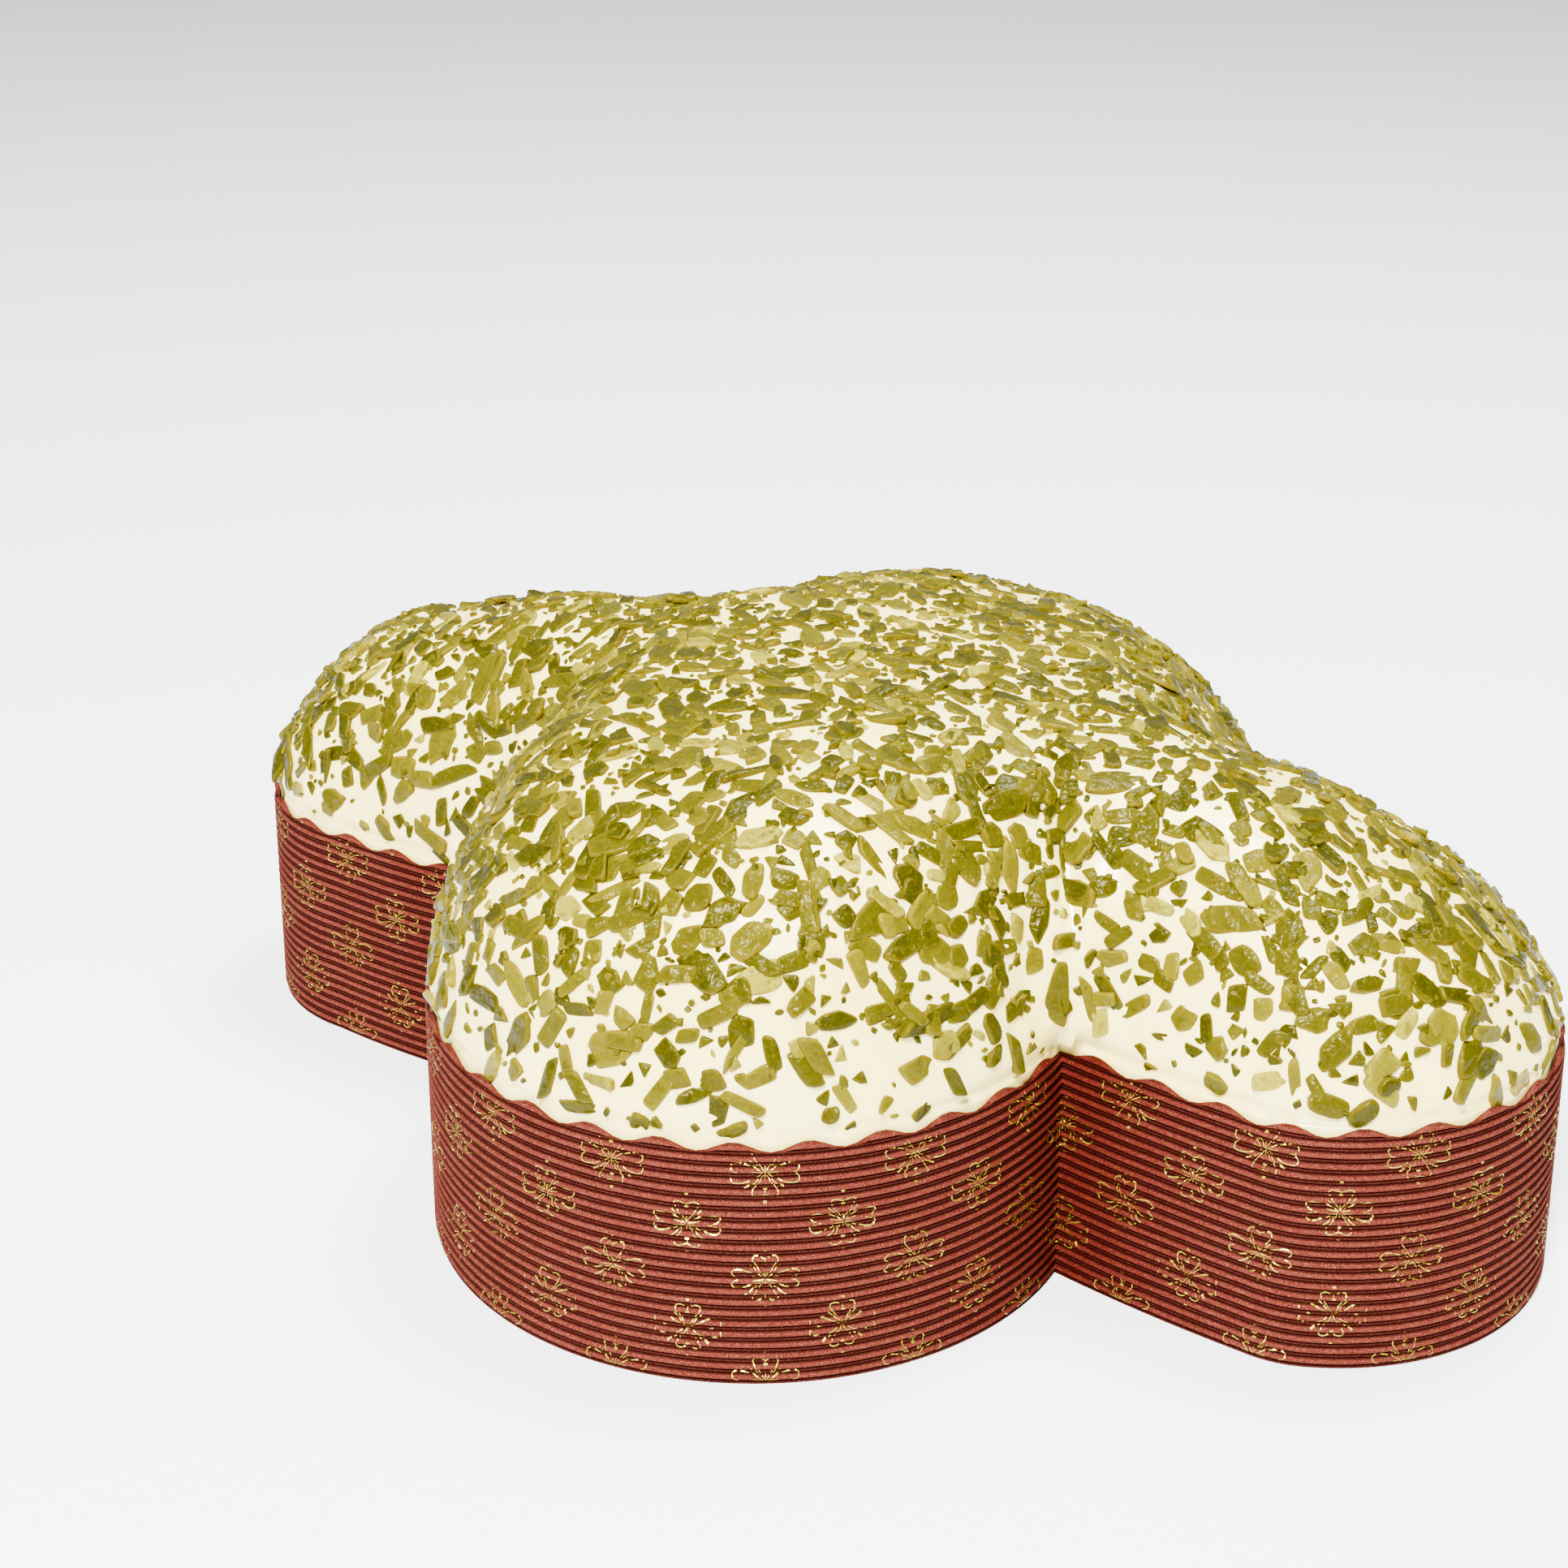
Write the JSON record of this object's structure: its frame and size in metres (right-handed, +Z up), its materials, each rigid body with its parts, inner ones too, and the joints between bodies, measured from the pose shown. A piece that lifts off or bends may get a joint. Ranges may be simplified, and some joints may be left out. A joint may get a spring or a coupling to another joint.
{
  "type": "dove-shaped easter bread",
  "caption": "Uncut dove-shaped easter loaf with an ivory glaze and chopped pistachio, standing in its low fluted paper case.",
  "frame": {"origin": "centre of the footprint's bounding box, on the table the case stands on", "axes": "+X towards the tail of the dove, along its length; +Y towards one wing; +Z up"},
  "size_m": [0.31, 0.2294, 0.1096],
  "materials": {
    "paper_case": "matte fluted brick-red paper with a fine gold ornament",
    "bread": "baked golden-brown crust",
    "glaze": "satin ivory-white glaze with olive-green chopped pistachio"
  },
  "bodies": {
    "root": {"paper_case": "paper_case", "bread": "bread", "glaze": "glaze"}
  },
  "joints": []
}
